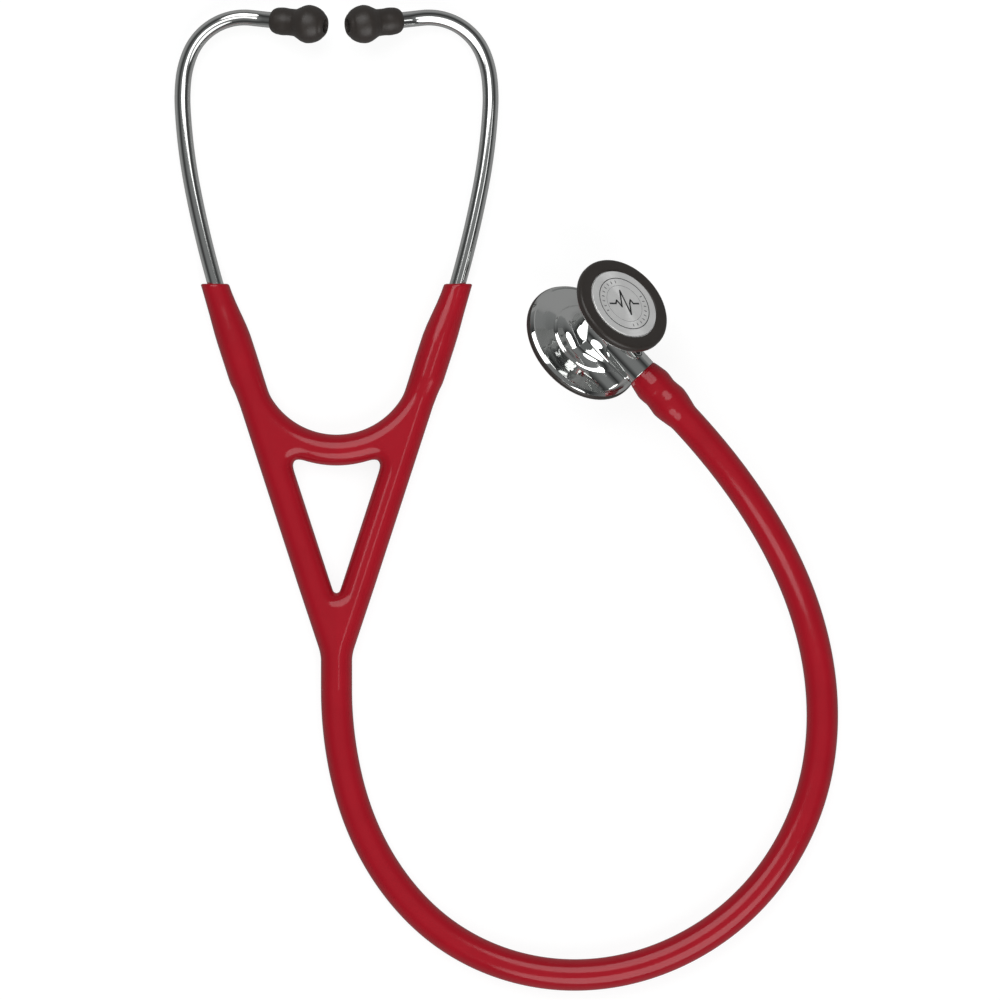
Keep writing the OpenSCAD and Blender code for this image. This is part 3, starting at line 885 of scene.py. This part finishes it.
# Outlines across the rims and diaphragms: (radius, height, fillet)
LARGE_RIM = [(21.2, -11.8), (21.2, -9.98), (21.95, -9.98, 0.15), (22.3, -10.6, 0.5),
             (22.3, -12.3, 1.0), (19.4, -12.3, 0.35), (19.4, -11.8)]
SMALL_RIM = [(16.9, 15.7), (16.9, 13.38), (17.55, 13.38, 0.15), (17.9, 13.9, 0.5),
             (17.9, 16.2, 1.25), (13.2, 16.2, 0.45), (13.2, 15.7)]
LARGE_FOIL = [(0, -12.4), (19.1, -12.4, 0.3), (19.1, -11.75), (20.9, -11.75), (20.9, -11.35),
              (0, -11.35)]
SMALL_FOIL = [(0, 15.25), (16.6, 15.25), (16.6, 15.65), (12.95, 15.65), (12.95, 16.3, 0.3),
              (0, 16.3)]
for size_word, flange, rim, face in (("large", LARGE_FLANGE, LARGE_RIM, LARGE_FOIL),
                                     ("small", SMALL_FLANGE, SMALL_RIM, SMALL_FOIL)):
    chest_lathe(f"{size_word}_flange", flange, CHROME, "chestpiece", ring=True)
    chest_lathe(f"{size_word}_soft_rim", rim, RIM_RUBBER, "chestpiece",
                [f"{size_word}_rim"], ring=True)
    chest_lathe(f"{size_word}_foil_face", face, FOIL, f"{size_word}_pickup",
                [f"{size_word}_diaphragm"])

FACE_Z = 16.3
PRINT_LOW, PRINT_HIGH = FACE_Z - 0.02, FACE_Z + 0.02
EMBLEM_TURN = math.radians(57)
TICK_MIDDLES = (147, -33)       # degrees, in the middle of each group of nine ticks
TICK_GAP = 13
TICK = [(8.1, -0.2), (9.1, -0.2), (9.1, 0.2), (8.1, 0.2)]
PULSE = [(-6.2, 0), (-3.7, 0), (-2.9, 1.3), (-2.1, 0), (-1.5, -1.3), (-0.1, 5.2), (1.4, -4.3),
         (2.3, 0), (3.1, 1.5), (3.9, 0), (6.2, 0)]
PULSE_WIDTH = 0.6


def ring_mesh(name, inner, outer):
    """A flat printed ring."""
    band = [(outer, PRINT_LOW), (outer, PRINT_HIGH), (inner, PRINT_HIGH), (inner, PRINT_LOW)]
    return lathe_mesh(name, band, sides=128, ring=True)


def printed(name, mesh, material):
    """Puts a print on the small face, which it moves with."""
    piece = new_object(name, mesh, material, CHEST_FRAME)
    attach(piece, "small_pickup")


def turned_outline(outline, angle):
    """An outline of (x, y) points, turned about the centre."""
    c, s = math.cos(angle), math.sin(angle)
    return [(c * x - s * y, s * x + c * y) for x, y in outline]


def ribbon(line, width):
    """Outlines of the straight strokes along a line, which overlap a little at its corners."""
    outlines = []
    for a, b in zip(line, line[1:]):
        a, b = Vector(a), Vector(b)
        along = (b - a).normalized() * width / 3
        side = Vector((-along.y, along.x)) * 1.5
        corners = (a - along + side, a - along - side, b + along - side, b + along + side)
        outlines.append([tuple(c) for c in corners])
    return outlines


def make_print():
    """Generic marks printed on the small face: two rings, ticks and a pulse line."""
    printed("bold_ring", ring_mesh("bold_ring", 9.9, 10.2), INK)
    printed("fine_ring", ring_mesh("fine_ring", 7.08, 7.2), PALE_INK)
    ticks = []
    for middle in TICK_MIDDLES:
        for k in range(-4, 5):
            turn = EMBLEM_TURN + math.radians(middle) + math.radians(TICK_GAP * k)
            ticks.append(turned_outline(TICK, turn))
    printed("ring_ticks", plates_mesh("ring_ticks", ticks, PRINT_LOW, PRINT_HIGH), PALE_INK)
    strokes = [turned_outline(s, EMBLEM_TURN) for s in ribbon(PULSE, PULSE_WIDTH)]
    printed("pulse_line", plates_mesh("pulse_line", strokes, PRINT_LOW, PRINT_HIGH), INK)


make_print()

# Stem: (radius, distance from the chestpiece's centre, fillet)
STEM_OUTLINE = [(0, -6.2), (3.6, -6.2), (3.6, 5.65), (STEM_R, 5.65, 0.1), (STEM_R, 21.6, 0.25),
                (4.2, 21.6), (4.2, 36.5), (0, 36.5)]
# Index mark on the stem: its distance from the chestpiece's centre, how proud it stands, how
# deep it reaches, and the inner and outer radius of its two pieces
INDEX_AT = 15.4
INDEX_RISE, INDEX_DEPTH = 0.03, -0.1
INDEX_SIDES = 40
INDEX_PIECES = [("index_ring", 1.35, 1.7), ("index_spot", 0.0, 0.95)]


def index_mesh(name, inner, outer):
    """A ring or spot that follows the stem's round top."""
    points, faces = [], []
    for radius, height in ((inner, INDEX_DEPTH), (outer, INDEX_DEPTH),
                           (outer, INDEX_RISE), (inner, INDEX_RISE)):
        for k in range(INDEX_SIDES):
            a = 2 * math.pi * k / INDEX_SIDES
            along, across = radius * math.cos(a), radius * math.sin(a)
            up = math.sqrt(STEM_R ** 2 - across ** 2) + height
            points.append((INDEX_AT + along, across, up))
    for ring in range(4):
        low, high = ring * INDEX_SIDES, (ring + 1) % 4 * INDEX_SIDES
        for k in range(INDEX_SIDES):
            after = (k + 1) % INDEX_SIDES
            faces.append((low + k, low + after, high + after, high + k))
    return smooth_mesh(name, points, faces, sharp=50)


def make_stem():
    """The stem and the index mark on it."""
    mesh = lathe_mesh("stem_rod", rounded(STEM_OUTLINE), sides=96)
    rod = new_object("stem_rod", mesh, CHROME, STEM_FRAME)
    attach(rod, "tubing")
    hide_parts("stem")
    for name, inner, outer in INDEX_PIECES:
        mark = new_object(name, index_mesh(name, inner, outer), INK, CHEST_FRAME)
        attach(mark, "tubing")
        if name == "index_ring":
            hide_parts("index_dot")


make_stem()


# ---------- inner pieces, whose CAD meshes stay ----------

SPRING_STEEL = chrome("spring_steel", (0.22, 0.32))
SEAL_RUBBER = satin_rubber("seal_rubber", (0.015, 0.015, 0.015), (0.022, 0.022, 0.022),
                           (0.45, 0.55), 0.000004)
INNER_NODES = {"headset_spring": SPRING_STEEL, "stem_snap_ring": SPRING_STEEL,
               "detent_ball": SPRING_STEEL, "detent_spring": SPRING_STEEL,
               "detent_screw": SPRING_STEEL, "stem_seal": SEAL_RUBBER}
for node, material in INNER_NODES.items():
    for slot in frame["nodes"][node].material_slots:
        slot.material = material


# ---------- stage ----------

# In metres, apart from the sensor's width in millimetres
PICTURE_CENTRE = (0.0249, -0.0525)
PICTURE_WIDTH = 0.345
CAMERA_DISTANCE = 16.0
LAMP_DISTANCE = 4.0
FLOOR_HALF = 5.0
SENSOR = 36.0
# The table's own grey, its glow, and how much more of that the camera sees
FLOOR_GREY = 0.18
FLOOR_GLOW, FLOOR_GLOW_TO_CAMERA = 0.16, 0.71


def make_camera():
    """Looks straight down, from so far that the picture has next to no perspective."""
    data = bpy.data.cameras.new("camera")
    data.sensor_width = SENSOR
    data.lens = SENSOR * CAMERA_DISTANCE / PICTURE_WIDTH
    data.clip_end = 40
    camera = bpy.data.objects.new("camera", data)
    camera.location = (*PICTURE_CENTRE, crotch.z + CAMERA_DISTANCE)
    bpy.context.scene.collection.objects.link(camera)
    bpy.context.scene.camera = camera


def aim_lamp(lamp, azimuth, zenith):
    """Hangs a lamp at its distance from the picture's centre, facing it."""
    a, z = math.radians(azimuth), math.radians(zenith)
    away = Vector((math.sin(z) * math.cos(a), math.sin(z) * math.sin(a), math.cos(z)))
    lamp.location = Vector((*PICTURE_CENTRE, 0)) + away * LAMP_DISTANCE
    lamp.rotation_mode = "QUATERNION"
    lamp.rotation_quaternion = away.to_track_quat("Z", "Y")


def make_softbox(name, width, height, radiance, shape="ELLIPSE"):
    """A softbox whose power follows from its radiance."""
    data = bpy.data.lights.new(name, "AREA")
    data.shape = shape
    data.size, data.size_y = width, height
    area = width * height * (math.pi / 4 if shape == "ELLIPSE" else 1)
    data.energy = radiance * math.pi * area
    lamp = bpy.data.objects.new(name, data)
    lamp.visible_camera = False
    bpy.context.scene.collection.objects.link(lamp)
    return lamp


def light_only(lamp, objects, state="INCLUDE"):
    """Limits a lamp to some objects, or with EXCLUDE to all the others."""
    group = bpy.data.collections.new(f"{lamp.name}_link")
    for obj in objects:
        group.objects.link(obj)
    lamp.light_linking.receiver_collection = group
    for item in group.collection_objects:
        item.light_linking.link_state = state


# Lamps: azimuth and zenith in degrees, width and height at a metre, and radiance
STUDIO_LAMPS = [
    ("upper_softbox", 110, 35.7, 1.06, 0.85, 3.0),
    ("lower_softbox", -70, 47.9, 1.10, 0.88, 3.0),
]
# The same for lamps that light one piece each
PIECE_LAMPS = [
    ("left_tube_upper", left_tube, 95, 46, 0.45, 0.66, 2.2),
    ("left_tube_lower", left_tube, -46, 40, 0.75, 0.62, 1.6),
    ("right_tube_lower", right_tube, -110, 38, 1.3, 1.2, 2.0),
    ("right_tube_strip", right_tube, -11, 38, 0.30, 0.16, 1.5),
    ("right_tube_faint_strip", right_tube, 167, 23, 0.30, 0.10, 0.9),
    ("right_arm_left_line", right_arm, 161.6, 30, 0.20, 0.17, 2.6),
    ("right_arm_right_line", right_arm, -18.4, 17.3, 0.20, 0.14, 2.6),
]


def far_softbox(name, azimuth, zenith, width, height, radiance):
    """A softbox at the lamps' distance, with its size given at a metre."""
    lamp = make_softbox(name, width * LAMP_DISTANCE, height * LAMP_DISTANCE, radiance)
    aim_lamp(lamp, azimuth, zenith)
    return lamp


def make_lights():
    """Two large softboxes, and smaller ones that draw single highlights.

    The smaller ones draw those along the ear tubes, and the two thin lines on the right arm.
    """
    for name, *numbers in STUDIO_LAMPS:
        light_only(far_softbox(name, *numbers), [left_tube, right_tube], "EXCLUDE")
    for name, piece, *numbers in PIECE_LAMPS:
        light_only(far_softbox(name, *numbers), [piece])
    # This one hangs close by, so that its highlights are short
    near = make_softbox("ear_tube_softbox", 0.26, 0.112, 2.0, "RECTANGLE")
    near.location = (crotch.x, 0.134, 0.3)
    light_only(near, [left_tube, right_tube])


def make_floor():
    """A pale light table: it glows for the camera, and lights the object only a little."""
    half = FLOOR_HALF
    mesh = bpy.data.meshes.new("floor")
    mesh.from_pydata([(-half, -half, 0), (half, -half, 0), (half, half, 0), (-half, half, 0)],
                     [], [(0, 1, 2, 3)])
    floor = bpy.data.objects.new("floor", mesh)
    bpy.context.scene.collection.objects.link(floor)
    m = Nodes("floor_paper")
    m.tree.nodes.remove(m.shader)
    paper = m.add("ShaderNodeBsdfDiffuse")
    m.set(paper, Color=(FLOOR_GREY, FLOOR_GREY, FLOOR_GREY, 1))
    glow = m.add("ShaderNodeEmission")
    seen = m.add("ShaderNodeLightPath")
    power = m.add("ShaderNodeMath", operation="MULTIPLY_ADD")
    power.inputs[1].default_value = FLOOR_GLOW_TO_CAMERA
    power.inputs[2].default_value = FLOOR_GLOW
    m.link(seen.outputs["Is Camera Ray"], power.inputs[0])
    m.link(power.outputs[0], glow.inputs["Strength"])
    both = m.add("ShaderNodeAddShader")
    m.link(paper.outputs[0], both.inputs[0])
    m.link(glow.outputs[0], both.inputs[1])
    m.link(both.outputs[0], m.output.inputs["Surface"])
    mesh.materials.append(m.material)


# The studio's grey by the height looked at: 0 at the horizon and below, 1 straight up
WORLD_GREYS = [(0.0, 0.24), (0.27, 0.15), (0.5, 0.035), (0.72, 0.10), (0.9, 0.21), (1.0, 0.22)]


def make_world():
    """A dim studio, darkest halfway up; the camera sees it white."""
    world = bpy.data.worlds.new("studio")
    bpy.context.scene.world = world
    world.use_nodes = True
    tree = world.node_tree
    tree.nodes.clear()
    point = tree.nodes.new("ShaderNodeTexCoord")
    split = tree.nodes.new("ShaderNodeSeparateXYZ")
    ramp = tree.nodes.new("ShaderNodeValToRGB")
    path = tree.nodes.new("ShaderNodeLightPath")
    mix = tree.nodes.new("ShaderNodeMix")
    mix.data_type = "RGBA"
    back = tree.nodes.new("ShaderNodeBackground")
    out = tree.nodes.new("ShaderNodeOutputWorld")
    fill_ramp(ramp, [(at, (grey * 0.98, grey, grey)) for at, grey in WORLD_GREYS])
    tree.links.new(point.outputs["Generated"], split.inputs[0])
    tree.links.new(split.outputs["Z"], ramp.inputs[0])
    tree.links.new(path.outputs["Is Camera Ray"], mix.inputs["Factor"])
    tree.links.new(ramp.outputs[0], mix.inputs["A"])
    mix.inputs["B"].default_value = (1, 1, 1, 1)
    tree.links.new(mix.outputs["Result"], back.inputs["Color"])
    tree.links.new(back.outputs[0], out.inputs["Surface"])


bpy.context.scene.view_settings.view_transform = "Standard"
make_camera()
make_world()
make_floor()
make_lights()
